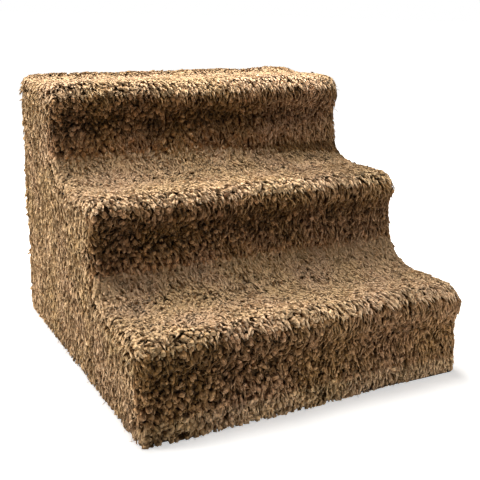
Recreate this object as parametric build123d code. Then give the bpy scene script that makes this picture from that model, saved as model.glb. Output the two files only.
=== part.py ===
from build123d import *
import os

# Pet stairs with three steps: a board carcass on rubber feet under a loose curly-fleece cover.
# Millimetres, +Z up. The origin is the middle of the footprint, on the floor. X runs across the
# steps, the lowest step faces -Y and the plain back faces +Y.

# Overall stair, measured over the cover
stair_width = 405.0
step_count = 3
step_run = 140.0
step_rise = 108.0

# Fleece cover
fleece = 9.0  # knitted backing and curly pile together
slip = 0.5  # room between the cover and the carcass
nose_radius = 17.0
bridge_radius = 24.0  # the cloth bridges each inner corner
side_edge_radius = 10.0
seam_inset = 11.0  # the top strip wraps this far round each edge
hem_lift = 1.5
hem_band = 12.0  # straight stretch above the hem
riser_hollow_middle = 7.0
riser_hollow_end = 3.0
tread_dish_middle = 4.5
tread_dish_end = 1.5
binding_width = 10.0
binding_thickness = 1.6

# Carcass
board = 12.0
foot_height = 6.0
tread_recess = 4.0  # the treads lie this far below the rims of the side panels
tread_setback = 2.0
tread_edge_radius = 5.0
riser_setback = 14.0
cleat_size = 15.0
cleat_end_gap = 4.0
block_size = 30.0
block_height = 40.0

# Feet
foot_radius = 14.0
foot_taper = 1.5
foot_pocket_radius = 5.2
foot_pocket_depth = 3.4

# Screws
screw_radius = 2.0
screw_head_radius = 4.0
screw_head_depth = 2.4
screw_tip = 2.0
screw_clearance = 0.1
recess_width = 1.0  # cross recess in each head
recess_depth = 1.2
tread_screw_length = 24.0
cleat_screw_length = 24.0
riser_screw_length = 40.0
back_screw_length = 36.0
foot_screw_length = 22.0
pan_head_radius = 4.0
pan_head_height = 2.6

# Hold-down straps and their hook patches
strap_width = 25.0
strap_thickness = 1.2
strap_bend = 3.0
strap_tab = 9.0
strap_reach = 52.0
strap_offset = 90.0  # from the middle of the stair to each strap
patch_width = 30.0
patch_height = 40.0
patch_thickness = 1.5
patch_base = 20.0  # from the floor to the lower edge of a patch

# Shares along the piece that each fastener holds
tread_screw_shares = (0.3, 0.7)
cleat_screw_shares = (0.12, 0.88)
riser_screw_shares = (0.22, 0.78)
back_screw_shares = (0.12, 0.5, 0.88)

overrun = 5.0  # how far cutting shapes run past what they cut

# Sizes that follow from the values above
stair_depth = step_count * step_run
stair_height = step_count * step_rise
front = -stair_depth / 2
back = stair_depth / 2
half_width = stair_width / 2
lining = fleece + slip  # from the outside of the cover to the carcass
cavity_front = front + fleece
cavity_back = back - fleece
panel_outer = half_width - lining
panel_inner = panel_outer - board
panel_back = back - lining - board
rim_radius = nose_radius - lining
strap_floor = hem_lift + binding_thickness

step_names = ("lower", "middle", "upper")
sides = {"left": -1, "right": 1}


def riser_y(step):
    return front + step * step_run


def tread_z(step):
    return (step + 1) * step_rise


def tread_top(step):
    return tread_z(step) - lining - tread_recess


def riser_board_back(step):
    return riser_y(step) + lining + riser_setback + board


def tread_board_back(step):
    if step + 1 < step_count:
        return riser_board_back(step + 1)
    return panel_back


def stair_face(inset, nose, bridge, base, rear):
    # Side view of the steps with Y as its first axis and Z as its second, drawn in by inset
    corners = [(riser_y(0) + inset, base)]
    for step in range(step_count):
        corners.append((riser_y(step) + inset, tread_z(step) - inset))
        if step + 1 < step_count:
            corners.append((riser_y(step + 1) + inset, tread_z(step) - inset))
    corners += [(rear, tread_z(step_count - 1) - inset), (rear, base)]
    face = Polygon(*corners, align=None)
    face = fillet([v for v in face.vertices() if is_nose(v, inset, rear)], nose)
    if bridge:
        face = fillet([v for v in face.vertices() if is_inner_corner(v, inset)], bridge)
    return face


def same(a, b):
    return abs(a - b) < slip / 10


def is_nose(vertex, inset, rear):
    outer = [(riser_y(step) + inset, tread_z(step) - inset) for step in range(step_count)]
    outer.append((rear, tread_z(step_count - 1) - inset))
    return any(same(vertex.X, y) and same(vertex.Y, z) for y, z in outer)


def is_inner_corner(vertex, inset):
    inner = [(riser_y(step + 1) + inset, tread_z(step) - inset) for step in range(step_count - 1)]
    return any(same(vertex.X, y) and same(vertex.Y, z) for y, z in inner)


def across(face, x_from, x_to):
    # Pushes a side view along X from one place to another
    return Pos(x_from, 0, 0) * extrude(Plane.YZ * face, x_to - x_from, dir=Axis.X.direction)


def block(x_span, y_span, z_span):
    size = [high - low for low, high in (x_span, y_span, z_span)]
    middle = [(high + low) / 2 for low, high in (x_span, y_span, z_span)]
    return Pos(*middle) * Box(*size)


def bowl(start, end, reach, depth_end, depth_middle, outward):
    # A shallow hollow between two points of the side view. It is deepest halfway across the stair,
    # and its open side stands off the surface by the overrun, in the direction outward.
    # All points are (Y, Z).
    (y0, z0), (y1, z1) = start, end
    across_out = (outward[0] * overrun, outward[1] * overrun)
    sections = []
    for x, depth in ((-reach, depth_end), (0, depth_middle), (reach, depth_end)):
        middle = ((y0 + y1) / 2 - outward[0] * depth, (z0 + z1) / 2 - outward[1] * depth)
        arc = ThreePointArc((y0, z0), middle, (y1, z1))
        rest = Polyline(
            (y1, z1),
            (y1 + across_out[0], z1 + across_out[1]),
            (y0 + across_out[0], z0 + across_out[1]),
            (y0, z0),
        )
        sections.append(Pos(x, 0, 0) * (Plane.YZ * make_face(arc + rest)))
    return loft(sections)


def riser_span(step, offset):
    low = hem_lift + hem_band if step == 0 else tread_z(step - 1) + bridge_radius
    y = riser_y(step) + offset
    return (y, low), (y, tread_z(step) - nose_radius)


def tread_span(step, offset):
    rear = riser_y(step + 1) - bridge_radius if step + 1 < step_count else back - nose_radius
    z = tread_z(step) - offset
    return (riser_y(step) + nose_radius, z), (rear, z)


# Cover


def cover_outside():
    outline = stair_face(0, nose_radius, bridge_radius, hem_lift, back)
    body = across(outline, -half_width, half_width)
    rims = [
        edge
        for edge in body.edges()
        if same(abs(edge.center().X), half_width) and edge.center().Z > hem_lift + slip
    ]
    body = fillet(rims, side_edge_radius)
    reach = half_width + overrun
    for step in range(step_count):
        body -= bowl(*riser_span(step, 0), reach, riser_hollow_end, riser_hollow_middle, (-1, 0))
        body -= bowl(*tread_span(step, 0), reach, tread_dish_end, tread_dish_middle, (0, 1))
    return body


def cover_inside():
    # The cloth sags inward between the side panels, so the room inside is hollowed there too
    outline = stair_face(fleece, nose_radius - fleece, bridge_radius + fleece, -overrun, cavity_back)
    room = across(outline, -half_width + fleece, half_width - fleece)
    for step in range(step_count):
        riser_belly = riser_hollow_middle - riser_hollow_end
        tread_belly = tread_dish_middle - tread_dish_end
        room -= bowl(*riser_span(step, fleece), panel_inner, slip / 2, riser_belly, (-1, 0))
        room -= bowl(*tread_span(step, fleece), panel_inner, slip / 2, tread_belly, (0, 1))
    return room


def side_patch(side):
    # The flat room of one side piece, inside the seam that follows the steps
    outline = stair_face(
        seam_inset, nose_radius - seam_inset, bridge_radius + seam_inset, -overrun, back - seam_inset
    )
    inner, outer = half_width - fleece, half_width + overrun
    return across(outline, *sorted((side * inner, side * outer)))


def cover_pieces():
    shell = cover_outside() - cover_inside()
    wide = (-half_width - overrun, half_width + overrun)
    seam_y = riser_y(1) + seam_inset
    pieces = {}
    strip = shell
    for name, side in sides.items():
        patch = side_patch(side)
        panel = shell & patch
        strip -= patch
        ahead = block(wide, (front - overrun, seam_y), (-overrun, stair_height))
        pieces[f"cover_side_{name}_front"] = panel & ahead
        pieces[f"cover_side_{name}_rear"] = panel - ahead
    rear = block(wide, (back - seam_inset, back + overrun), (-overrun, stair_height - seam_inset))
    pieces["cover_back"] = strip & rear
    pieces["cover_front_strip"] = strip - rear
    return pieces


def hem_binding():
    z_span = (hem_lift, strap_floor)
    x, inner_x = half_width - fleece, half_width - fleece - binding_width
    outer = block((-x, x), (cavity_front, cavity_back), z_span)
    inner = block(
        (-inner_x, inner_x),
        (cavity_front + binding_width, cavity_back - binding_width),
        (hem_lift - overrun, strap_floor + overrun),
    )
    return outer - inner


def hold_down_strap(x, wall, board_face, inward, tab):
    # A strap is sewn to the foot of the cover at wall, passes under the board and turns up its
    # inner face, where it grips the hook patch. Inward is +1 from the front, -1 from the back.
    face = board_face + inward * patch_thickness
    far = face + inward * strap_thickness
    near = wall + inward * strap_thickness
    shelf = strap_floor + strap_thickness
    if tab:
        start = [(near, shelf), (near, strap_floor + tab), (wall, strap_floor + tab)]
    else:
        start = [(wall, shelf)]
    outline = [*start, (wall, strap_floor), (far, strap_floor), (far, strap_reach)]
    outline += [(face, strap_reach), (face, shelf)]
    sheet = Polygon(*outline, align=None)
    outer = [(far, strap_floor)] + ([(wall, strap_floor)] if tab else [])
    inner = [(face, shelf)] + ([(near, shelf)] if tab else [])
    for points, radius in ((outer, strap_bend), (inner, strap_bend - strap_thickness)):
        bends = [v for v in sheet.vertices() for y, z in points if same(v.X, y) and same(v.Y, z)]
        sheet = fillet(bends, radius)
    return across(sheet, x - strap_width / 2, x + strap_width / 2)


def hook_patch(x, board_face, inward):
    y_span = sorted((board_face, board_face + inward * patch_thickness))
    x_span = (x - patch_width / 2, x + patch_width / 2)
    return block(x_span, y_span, (patch_base, patch_base + patch_height))


# Screws. Each is drawn with its head at the origin and its shank down -Z.


def shank(length, grow):
    straight = length - screw_tip
    body = Pos(0, 0, -straight / 2) * Cylinder(screw_radius + grow, straight)
    tip = Cone(screw_radius / 4 + grow, screw_radius + grow, screw_tip)
    return body + Pos(0, 0, -straight - screw_tip / 2) * tip


def countersunk(length, grow=0.0):
    head = Cone(screw_radius + grow, screw_head_radius + grow, screw_head_depth)
    body = shank(length, grow) + Pos(0, 0, -screw_head_depth / 2) * head
    return body if grow else body - cross_recess(0)


def pan_head(length, grow=0.0):
    body = shank(length, grow)
    if grow:
        return body
    head = Pos(0, 0, pan_head_height / 2) * Cylinder(pan_head_radius, pan_head_height)
    rim = head.edges().filter_by(GeomType.CIRCLE).sort_by(Axis.Z)[-1]
    return body + fillet(rim, pan_head_height / 3) - cross_recess(pan_head_height)


def cross_recess(top):
    arm = screw_head_radius
    slot = Box(arm, recess_width, 2 * recess_depth) + Box(recess_width, arm, 2 * recess_depth)
    return Pos(0, 0, top) * slot


def along(axis):
    # Turns a screw so that its shank points along an axis: -z, +x, -x, -y or +z
    turns = {"-z": Rot(), "+z": Rot(X=180), "+x": Rot(Y=-90), "-x": Rot(Y=90), "-y": Rot(X=-90)}
    return turns[axis]


# Carcass


def side_panel(side):
    outline = stair_face(lining, rim_radius, 0, foot_height, panel_back)
    return across(outline, *sorted((side * panel_inner, side * panel_outer)))


def tread_board(step):
    top = tread_top(step)
    y_span = (riser_y(step) + lining + tread_setback, tread_board_back(step))
    plank = block((-panel_inner, panel_inner), y_span, (top - board, top))
    nose = [e for e in plank.edges().filter_by(Axis.X) if same(e.center().Y, y_span[0])]
    return fillet(nose, tread_edge_radius)


def riser_board(step):
    y_back = riser_board_back(step)
    low = foot_height if step == 0 else tread_top(step - 1)
    x_span = (-panel_inner, panel_inner)
    return block(x_span, (y_back - board, y_back), (low, tread_top(step) - board))


def back_panel():
    x_span, y_span = (-panel_outer, panel_outer), (panel_back, panel_back + board)
    panel = block(x_span, y_span, (foot_height, stair_height - lining))
    top = panel.edges().filter_by(Axis.X).group_by(Axis.Z)[-1].sort_by(Axis.Y)[-1]
    return fillet(top, rim_radius)


def cleat_span(step):
    return riser_board_back(step) + cleat_end_gap, tread_board_back(step) - cleat_end_gap


def tread_cleat(step, side):
    low = tread_top(step) - board
    x_span = sorted((side * panel_inner, side * (panel_inner - cleat_size)))
    return block(x_span, cleat_span(step), (low - cleat_size, low))


def corner_places():
    # Middle of each corner block, which is also the middle of its foot
    x = panel_inner - block_size / 2
    front_y = riser_board_back(0) + block_size / 2
    back_y = panel_back - block_size / 2
    return {
        f"{end}_{name}": (side * x, y)
        for end, y in (("front", front_y), ("back", back_y))
        for name, side in sides.items()
    }


def corner_block(x, y):
    half = block_size / 2
    z_span = (foot_height, foot_height + block_height)
    post = block((x - half, x + half), (y - half, y + half), z_span)
    return post


def rubber_foot(x, y):
    foot = Cone(foot_radius - foot_taper, foot_radius, foot_height)
    pocket = Cylinder(foot_pocket_radius, foot_pocket_depth)
    bore = Cylinder(screw_radius + screw_clearance, foot_height + overrun)
    foot -= Pos(0, 0, (foot_pocket_depth - foot_height) / 2) * pocket
    return Pos(x, y, foot_height / 2) * (foot - bore)


def screw_places():
    # Every screw group: the kind, its length and where each screw sits and points
    groups = {name: [] for name in ("tread_screws", "cleat_screws", "riser_screws", "back_screws")}
    for step in range(step_count):
        y0, y1 = cleat_span(step)
        cleat_z = tread_top(step) - board - cleat_size / 2
        riser_low = foot_height if step == 0 else tread_top(step - 1)
        riser_high = tread_top(step) - board
        riser_y_middle = riser_board_back(step) - board / 2
        for side in sides.values():
            inward = "+x" if side < 0 else "-x"
            outward = "-x" if side < 0 else "+x"
            for share in tread_screw_shares:
                place = (side * (panel_inner - cleat_size / 2), y0 + share * (y1 - y0), tread_top(step))
                groups["tread_screws"].append((place, "-z"))
            for share in cleat_screw_shares:
                place = (side * (panel_inner - cleat_size), y0 + share * (y1 - y0), cleat_z)
                groups["cleat_screws"].append((place, outward))
            for share in riser_screw_shares:
                z = riser_low + share * (riser_high - riser_low)
                groups["riser_screws"].append(((side * panel_outer, riser_y_middle, z), inward))
    for side in sides.values():
        for share in back_screw_shares:
            z = foot_height + share * (stair_height - lining - foot_height)
            place = (side * (panel_outer - board / 2), panel_back + board, z)
            groups["back_screws"].append((place, "-y"))
    return groups


screw_lengths = {
    "tread_screws": tread_screw_length,
    "cleat_screws": cleat_screw_length,
    "riser_screws": riser_screw_length,
    "back_screws": back_screw_length,
}


def drilled(piece, group):
    # Cuts the holes of one screw group where they meet the piece
    box = piece.bounding_box()
    for place, axis in screw_places()[group]:
        cutter = Pos(*place) * along(axis) * countersunk(screw_lengths[group], screw_clearance)
        if cutter.bounding_box().overlaps(box):
            piece -= cutter
    return piece


def carcass_pieces():
    pieces = {}
    for name, side in sides.items():
        panel = side_panel(side)
        for group in ("cleat_screws", "riser_screws", "back_screws"):
            panel = drilled(panel, group)
        pieces[f"side_panel_{name}"] = panel
    pieces["back_panel"] = drilled(back_panel(), "back_screws")
    for step, word in enumerate(step_names):
        pieces[f"tread_board_{word}"] = drilled(tread_board(step), "tread_screws")
        pieces[f"riser_board_{word}"] = drilled(riser_board(step), "riser_screws")
        for name, side in sides.items():
            cleat = drilled(tread_cleat(step, side), "tread_screws")
            pieces[f"tread_cleat_{word}_{name}"] = drilled(cleat, "cleat_screws")
    for group, places in screw_places().items():
        screw = countersunk(screw_lengths[group])
        pieces[group] = [Pos(*place) * along(axis) * screw for place, axis in places]
    return pieces


def foot_pieces():
    pieces = {}
    seat = foot_pocket_depth
    screws = []
    for name, (x, y) in corner_places().items():
        screw_place = Pos(x, y, seat) * along("+z")
        pieces[f"corner_block_{name}"] = corner_block(x, y) - screw_place * pan_head(
            foot_screw_length, screw_clearance
        )
        pieces[f"foot_{name}"] = rubber_foot(x, y)
        screws.append(screw_place * pan_head(foot_screw_length))
    pieces["foot_screws"] = screws
    return pieces


def strap_pieces():
    pieces = {}
    for name, side in sides.items():
        x = side * strap_offset
        front_face = riser_board_back(0)
        pieces[f"hold_down_strap_front_{name}"] = hold_down_strap(x, cavity_front, front_face, 1, strap_tab)
        pieces[f"hook_patch_front_{name}"] = hook_patch(x, front_face, 1)
        pieces[f"hold_down_strap_back_{name}"] = hold_down_strap(x, cavity_back, panel_back, -1, 0)
        pieces[f"hook_patch_back_{name}"] = hook_patch(x, panel_back, -1)
    return pieces


def build_all():
    pieces = {**carcass_pieces(), **foot_pieces(), **strap_pieces(), **cover_pieces()}
    pieces["hem_binding"] = hem_binding()
    return pieces


os.makedirs("parts", exist_ok=True)
for node, piece in build_all().items():
    solids = piece if isinstance(piece, list) else piece.solids()
    export_step(Compound(children=list(solids)), f"parts/{node}.step")
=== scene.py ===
import bpy
import bmesh
import math
from mathutils import Matrix, Vector, noise


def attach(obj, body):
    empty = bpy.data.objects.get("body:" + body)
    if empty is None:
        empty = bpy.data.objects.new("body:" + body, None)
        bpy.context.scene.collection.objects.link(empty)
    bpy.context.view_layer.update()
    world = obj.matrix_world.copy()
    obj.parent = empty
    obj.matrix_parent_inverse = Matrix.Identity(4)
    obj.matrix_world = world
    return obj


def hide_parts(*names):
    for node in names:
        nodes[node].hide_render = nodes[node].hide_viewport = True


# Pet stairs: three steps of board under a loose curly-fleece cover.
# Metres, the steps face -Y, the floor is at z = 0.

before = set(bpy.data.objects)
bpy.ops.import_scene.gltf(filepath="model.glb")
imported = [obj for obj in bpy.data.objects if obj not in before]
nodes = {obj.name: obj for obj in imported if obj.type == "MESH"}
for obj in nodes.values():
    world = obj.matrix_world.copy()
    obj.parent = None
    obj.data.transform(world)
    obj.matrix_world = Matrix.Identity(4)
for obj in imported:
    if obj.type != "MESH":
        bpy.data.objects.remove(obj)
for spare in ("Cube", "Light", "Camera"):  # what a new file starts with
    if spare in bpy.data.objects:
        bpy.data.objects.remove(bpy.data.objects[spare])
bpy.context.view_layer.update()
scene = bpy.context.scene

# Small helpers


class Value:
    # What a node gives out, so that sums and products of it can be written as such
    def __init__(self, node, output=0):
        self.socket = node.outputs[output]
        self.tree = node.id_data
        self.isVector = self.socket.type in ("VECTOR", "RGBA")

    def calc(self, operation, *others, output=0):
        kind = "ShaderNodeVectorMath" if self.isVector else "ShaderNodeMath"
        return result(self.tree, kind, dict(enumerate((self, *others))), output, operation=operation)

    def __add__(self, other):
        return self.calc("ADD", other)

    def __sub__(self, other):
        return self.calc("SUBTRACT", other)

    def __truediv__(self, other):
        return self.calc("DIVIDE", other)

    def __mul__(self, other):
        if self.isVector and isinstance(other, float):
            ins = {0: self, "Scale": other}
            return result(self.tree, "ShaderNodeVectorMath", ins, operation="SCALE")
        return self.calc("MULTIPLY", other)


def addNode(tree, kind, ins=None, **settings):
    node = tree.nodes.new(kind)
    for key, value in settings.items():
        setattr(node, key, value)
    for key, value in (ins or {}).items():
        if isinstance(value, Value):
            tree.links.new(value.socket, node.inputs[key])
        else:
            node.inputs[key].default_value = value
    return node


def result(tree, kind, ins=None, output=0, **settings):
    return Value(addNode(tree, kind, ins, **settings), output)


def axes(vector):
    node = addNode(vector.tree, "ShaderNodeSeparateXYZ", {0: vector})
    return [Value(node, i) for i in range(3)]


def ramp(value, stops):
    node = addNode(value.tree, "ShaderNodeValToRGB", {"Fac": value})
    elements = node.color_ramp.elements
    while len(elements) < len(stops):
        elements.new(0.5)
    for element, (place, colour) in zip(elements, stops):
        element.position = place
        element.color = (*colour, 1)
    return Value(node)


def remap(value, ends, results):
    ins = {0: value, 1: ends[0], 2: ends[1], 3: results[0], 4: results[1]}
    return result(value.tree, "ShaderNodeMapRange", ins)


def noiseAt(place, scale, detail, output=0, **more):
    ins = {"Vector": place, "Scale": scale, "Detail": detail, **more}
    return result(place.tree, "ShaderNodeTexNoise", ins, output)


def mixColour(share, a, b, blend="MIX"):
    tree = next(v.tree for v in (share, a) if isinstance(v, Value))
    a, b = (v if isinstance(v, Value) else (*v, 1) for v in (a, b))
    return result(tree, "ShaderNodeMix", {0: share, 6: a, 7: b}, 2, data_type="RGBA", blend_type=blend)


def tinted(colour, by):
    return tuple(c * by for c in colour)


def newMaterial(name, uvMap=None, **sockets):
    # With the object's own coordinates, or a map's
    material = bpy.data.materials.new(name)
    material.use_nodes = True
    tree = material.node_tree
    shader = tree.nodes["Principled BSDF"]
    for key, value in sockets.items():
        shader.inputs[key.replace("_", " ")].default_value = value
    if uvMap:
        return material, shader, result(tree, "ShaderNodeUVMap", uv_map=uvMap)
    return material, shader, result(tree, "ShaderNodeTexCoord", output="Object")


def dress(shader, colour, height, strength, distance, rough=None):
    # Colour, bump and, where one is given, a map of the roughness
    ins = {"Height": height, "Strength": strength, "Distance": distance}
    bump = result(height.tree, "ShaderNodeBump", ins)
    for key, value in (("Base Color", colour), ("Normal", bump), ("Roughness", rough)):
        if value:
            height.tree.links.new(value.socket, shader.inputs[key])


def smoothStep(value):
    value = min(1.0, max(0.0, value))
    return value * value * (3 - 2 * value)


def bell(x, middle, width):
    return math.exp(-(((x - middle) / width) ** 2))


def rise(value, start, end):
    return smoothStep((value - start) / (end - start))


def line(value, start, end):
    return min(1.0, max(0.0, (value - start) / (end - start)))


forms = {"bell": bell, "rise": rise, "line": line}


def newVerts(made):
    return [v for v in made["geom"] if isinstance(v, bmesh.types.BMVert)]


def rounded(bm, geom, offset, segments, affect="EDGES"):
    bmesh.ops.bevel(
        bm, geom=geom, offset=offset, affect=affect, segments=segments, profile=0.5, material=-1
    )


def linked(name, data):
    thing = bpy.data.objects.new(name, data)
    scene.collection.objects.link(thing)
    return thing


def meshOf(name, bm):
    mesh = bpy.data.meshes.new(name)
    bm.to_mesh(mesh)
    bm.free()
    return mesh


def newPiece(name, bm, material):
    piece = linked(name, meshOf(name, bm))
    piece.data.materials.append(material)
    piece.data.shade_smooth()
    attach(piece, "root")
    return piece


# Camera

view = {
    "place": (-0.4635, -0.9078, 0.4399),
    "turn": -27.915,  # degrees
    "down": 16.857,
    "roll": 1.262,
    "lens": 63.02,
}


def placeCamera():
    camera = linked("camera", bpy.data.cameras.new("camera"))
    camera.data.lens = view["lens"]
    camera.data.sensor_width = 36
    turned = (
        Matrix.Rotation(math.radians(view["turn"]), 4, "Z")
        @ Matrix.Rotation(math.radians(90 - view["down"]), 4, "X")
        @ Matrix.Rotation(math.radians(view["roll"]), 4, "Z")
    )
    camera.matrix_world = Matrix.Translation(view["place"]) @ turned
    scene.camera = camera


placeCamera()
print("camera placed")

# Cover: the shape the cloth is cut and sewn to

cover = {
    "width": 0.405,
    "run": 0.140,
    "rise": 0.108,
    "steps": 3,
    "noseRadius": 0.023,
    "rimRadius": 0.017,
    "bridgeRadius": 0.024,
    "edgeRadius": 0.010,
    "seamInset": 0.011,
    "groove": 0.005,  # the seams lie this much deeper
    "seamWidth": 0.0045,
    "hemLift": 0.0015,
    "pile": 0.0036,  # height of the curls above the backing
    "backing": 0.0012,
    "riserHollow": (0.003, 0.009),  # at the ends, in the middle
    "noseBulge": 0.0035,  # the roll over each nose stands out this much
    "treadDish": (0.0015, 0.0045),
    "hollowForm": (8, 1.8),  # how level it is across the stair, how near its upper end it is deepest
    "grid": 0.006,
    "bendGrid": 0.0045,
}

halfWidth = cover["width"] / 2
front = -cover["run"] * cover["steps"] / 2
back = -front
height = cover["rise"] * cover["steps"]
sideSeam = front + cover["run"] + cover["seamInset"]  # upright seam in each side


def isLast(step):
    return step + 1 == cover["steps"]


def sideLine():
    # The outside of the cover seen from the side, from the front hem up over the steps and down
    # the back: y, z, outward normal, kind of stretch, step, share of the way along it
    rows = []

    def straight(start, end, normal, kind, step):
        length = math.dist(start, end)
        count = max(2, round(length / cover["grid"]))
        for i in range(count):
            share = i / count
            y = start[0] + (end[0] - start[0]) * share
            z = start[1] + (end[1] - start[1]) * share
            rows.append((y, z, *normal, kind, step, share))

    def arc(centre, radius, fromAngle, toAngle, outward, kind, step):
        count = max(4, round(radius * abs(toAngle - fromAngle) / cover["bendGrid"]))
        for i in range(count):
            share = i / count
            angle = fromAngle + (toAngle - fromAngle) * share
            c, s = math.cos(angle), math.sin(angle)
            place = (centre[0] + radius * c, centre[1] + radius * s)
            rows.append((*place, outward * c, outward * s, kind, step, share))

    nose, bridge, rim = cover["noseRadius"], cover["bridgeRadius"], cover["rimRadius"]
    for step in range(cover["steps"]):
        y = front + step * cover["run"]
        top = (step + 1) * cover["rise"]
        last = isLast(step)
        low = cover["hemLift"] if step == 0 else top - cover["rise"] + bridge
        straight((y, low), (y, top - nose), (-1, 0), "riser", step)
        arc((y + nose, top - nose), nose, math.pi, math.pi / 2, 1, "nose", step)
        rear = back - rim if last else y + cover["run"] - bridge
        straight((y + nose, top), (rear, top), (0, 1), "tread", step)
        if last:
            arc((rear, top - rim), rim, math.pi / 2, 0, 1, "rim", step)
            straight((back, top - rim), (back, cover["hemLift"]), (1, 0), "back", step)
            rows.append((back, cover["hemLift"], 1, 0, "back", step, 1.0))
        else:
            arc((rear, top + bridge), bridge, -math.pi / 2, 0, -1, "bridge", step)
    return rows


def hollow(kind, share, x):
    # How far the cloth sinks between the boards' rims
    if kind == "nose":
        return -cover["noseBulge"] * math.sin(math.pi * (1 - share) / 2) ** 2 * (1 - share)
    if kind not in ("riser", "tread"):
        return 0.0
    atEnds, inMiddle = cover["riserHollow" if kind == "riser" else "treadDish"]
    level, late = cover["hollowForm"]
    across = 1 - min(1.0, abs(x) / halfWidth) ** level
    deep = (atEnds + (inMiddle - atEnds) * across) * math.sin(math.pi * share**late)
    if kind == "riser":
        deep -= cover["noseBulge"] * rise(share, 0.6, 1.0)
    return deep


settling = {
    "flare": (0.010, 0.004),  # the front stands out at the floor, at the left and at the right
    "flareFades": (0.07, 0.105, 1.1),  # at this distance from the front and height, and how it does
    "hemBow": (0.085, 0.040, 0.0025, 0.05),  # where the front hem lifts, how wide and high, up to z
    "bridgeFill": (0.009, 0.0045),  # the cloth spans the inner corners
    "fillReach": 0.03,
    "fillOut": 0.707,  # share of it forwards, and the same upwards
    "lumps": (0.0016, 22, 47),  # height, broad and narrow ones in a metre
    "lumpsFree": (0.03, 0.012, 0.02),  # they grow up to this height, so far from side and back
    # height of each nose along x, from left to right
    "noseWaves": (
        ((-0.190, -0.005), (-0.030, 0.004), (0.100, 0.005)),
        ((-0.120, -0.002), (0.010, 0.003), (0.130, 0.002)),
        ((-0.140, 0.001), (-0.020, -0.002), (0.120, 0.002)),
    ),
    "waveAt": (0.008, 0.006),  # so far behind the nose and below it
    "waveReach": (0.035, 0.035, 0.03),  # along x, y and z
    "waveOut": 0.5,  # a wave that stands up also stands out by this share
}


def settle(place):
    # The cover isn't taut: one move for every point of it, so that its seams stay together
    x, y, z = place
    moved = Vector(place)
    fadeBack, fadeUp, power = settling["flareFades"]
    near = rise(y, front + fadeBack, front)
    left, right = settling["flare"]
    flare = left + (right - left) * smoothStep((x + halfWidth) / cover["width"])
    moved.y -= flare * near * max(0.0, 1 - z / fadeUp) ** power
    bowAt, bowWidth, bowHeight, bowTop = settling["hemBow"]
    moved.z += bowHeight * bell(x, bowAt, bowWidth) * near * max(0.0, 1 - z / bowTop)
    behind, below = settling["waveAt"]
    reachX, reachY, reachZ = settling["waveReach"]
    for step, waves in enumerate(settling["noseWaves"]):
        noseY, noseZ = front + step * cover["run"], (step + 1) * cover["rise"]
        close = bell(y, noseY + behind, reachY) * bell(z, noseZ - below, reachZ)
        for at, lift in waves:
            moved.z += lift * bell(x, at, reachX) * close
            moved.y -= settling["waveOut"] * lift * bell(x, at, reachX) * close
    for step, fill in enumerate(settling["bridgeFill"]):
        cornerY, cornerZ = front + (step + 1) * cover["run"], (step + 1) * cover["rise"]
        away = math.hypot(y - cornerY, z - cornerZ)
        out = fill * bell(away, 0, settling["fillReach"]) * settling["fillOut"]
        moved.y -= out
        moved.z += out
    lump, broad, narrow = settling["lumps"]
    lump *= 0.5 + noise.noise(place * broad) + 0.5 * noise.noise(place * narrow + Vector((3, 1, 7)))
    growsTo, offSide, offBack = settling["lumpsFree"]
    lump *= min(1.0, z / growsTo)
    if abs(x) < halfWidth - offSide:
        moved.y -= lump if y < back - offBack else -lump
        moved.z += lump
    else:
        moved.x += math.copysign(lump, x)
    return moved


def acrossLine():
    # The cover from its left seam over the width to its right seam: x, and how deep it lies below
    # the outside of the pile
    pile, edge = cover["pile"], cover["edgeRadius"]
    flat = halfWidth - edge
    count = round(flat / cover["grid"])
    right = [(flat * i / count, pile) for i in range(count)]
    for i in range(5):
        angle = math.pi / 2 * i / 4
        right.append((flat + (edge - pile) * math.sin(angle), edge - (edge - pile) * math.cos(angle)))
    right.append((halfWidth - pile - cover["groove"], cover["seamInset"]))
    return [(-x, depth) for x, depth in reversed(right[1:])] + right


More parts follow.
